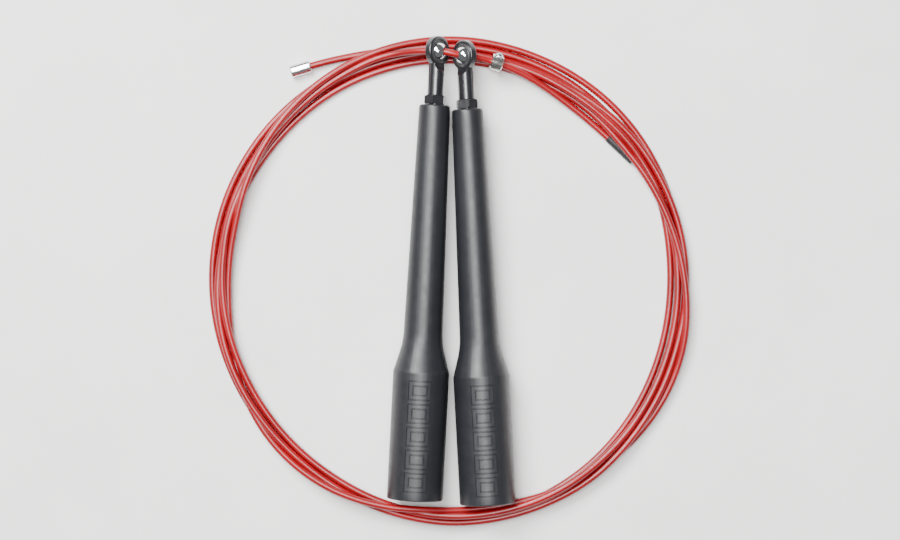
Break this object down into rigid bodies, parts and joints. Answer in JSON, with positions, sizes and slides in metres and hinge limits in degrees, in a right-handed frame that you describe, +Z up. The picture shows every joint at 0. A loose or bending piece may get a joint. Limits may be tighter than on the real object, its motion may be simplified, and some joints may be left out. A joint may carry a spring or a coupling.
{
  "type": "jump rope",
  "caption": "Speed jump rope: tapered handles with internal bearings and ball-joint ends, threaded on a coiled coated cable with a crimped stop, an adjustable stop and a capped tail.",
  "frame": {"origin": "on the ground, in the middle of the bounding box of the two handles", "axes": "+Y along the handles from butt to eye, +X to the right seen from above with the eyes at the top, +Z up"},
  "size_m": [0.18, 0.1829, 0.0213],
  "materials": {
    "red_coating": "gloss",
    "bright_ferrule": "bright",
    "plated_stop": "bright nickel",
    "screw_steel": "bright",
    "black_rubber": "matt",
    "grip_nylon": "satin",
    "plug_nylon": "satin",
    "black_steel": "satin black",
    "liner_plastic": "matt",
    "polished_ball": "polished",
    "turned_steel": "turned",
    "spacer_aluminium": "turned",
    "bearing_steel": "ground",
    "cage_brass": "pressed"
  },
  "bodies": {
    "cable": {"cable_coil": "red_coating", "cable_run": "red_coating", "cable_lead": "red_coating", "end_ferrule": "bright_ferrule", "adjustable_stop": "plated_stop", "stop_screw": "screw_steel", "end_cap": "black_rubber"},
    "left_ball": {"left_swivel_ball": "polished_ball"},
    "left_swivel": {"left_rod_end": "black_steel", "left_race_liner": "liner_plastic", "left_hex_collar": "black_steel", "left_spindle": "turned_steel", "left_bearing_spacer": "spacer_aluminium", "left_washer": "turned_steel", "left_lock_nut": "turned_steel", "left_front_inner_ring": "bearing_steel", "left_rear_inner_ring": "bearing_steel"},
    "left_handle": {"left_grip": "grip_nylon", "left_end_plug": "plug_nylon", "left_front_outer_ring": "bearing_steel", "left_rear_outer_ring": "bearing_steel"},
    "left_ball_sets": {"left_front_balls": "bearing_steel", "left_front_cage": "cage_brass", "left_rear_balls": "bearing_steel", "left_rear_cage": "cage_brass"},
    "right_ball": {"right_swivel_ball": "polished_ball"},
    "right_swivel": {"right_rod_end": "black_steel", "right_race_liner": "liner_plastic", "right_hex_collar": "black_steel", "right_spindle": "turned_steel", "right_bearing_spacer": "spacer_aluminium", "right_washer": "turned_steel", "right_lock_nut": "turned_steel", "right_front_inner_ring": "bearing_steel", "right_rear_inner_ring": "bearing_steel"},
    "right_handle": {"right_grip": "grip_nylon", "right_end_plug": "plug_nylon", "right_front_outer_ring": "bearing_steel", "right_rear_outer_ring": "bearing_steel"},
    "right_ball_sets": {"right_front_balls": "bearing_steel", "right_front_cage": "cage_brass", "right_rear_balls": "bearing_steel", "right_rear_cage": "cage_brass"}
  },
  "joints": [
    {"name": "left_turn", "type": "hinge", "parent": "cable", "child": "left_ball", "pos_m": [-0.0052, 0.08075, 0.0114], "axis": [-0.9679, 0.0677, -0.2419], "range_deg": [0, 165]},
    {"name": "left_tilt", "type": "hinge", "parent": "left_ball", "child": "left_swivel", "pos_m": [-0.0052, 0.08075, 0.0114], "axis": [-0.0506, -0.9987, -0.006], "range_deg": [-14, 6]},
    {"name": "left_spin", "type": "hinge", "parent": "left_swivel", "child": "left_handle", "pos_m": [-0.00631, 0.05878, 0.01127], "axis": [-0.0506, -0.9987, -0.006], "continuous": true},
    {"name": "left_ball_orbit", "type": "hinge", "parent": "left_swivel", "child": "left_ball_sets", "pos_m": [-0.00631, 0.05878, 0.01127], "axis": [-0.0506, -0.9987, -0.006], "continuous": true},
    {"name": "right_turn", "type": "hinge", "parent": "cable", "child": "right_ball", "pos_m": [0.0048, 0.0792, 0.0114], "axis": [-0.9623, 0.0842, 0.2588], "range_deg": [0, 165]},
    {"name": "right_tilt", "type": "hinge", "parent": "right_ball", "child": "right_swivel", "pos_m": [0.0048, 0.0792, 0.0114], "axis": [0.0523, -0.9986, -0.006], "range_deg": [-4, 14]},
    {"name": "right_spin", "type": "hinge", "parent": "right_swivel", "child": "right_handle", "pos_m": [0.00595, 0.05723, 0.01127], "axis": [0.0523, -0.9986, -0.006], "continuous": true},
    {"name": "right_ball_orbit", "type": "hinge", "parent": "right_swivel", "child": "right_ball_sets", "pos_m": [0.00595, 0.05723, 0.01127], "axis": [0.0523, -0.9986, -0.006], "continuous": true}
  ],
  "couplings": [
    {"joint": "left_ball_orbit", "follows": "left_spin", "ratio": 0.6},
    {"joint": "right_ball_orbit", "follows": "right_spin", "ratio": 0.6}
  ]
}
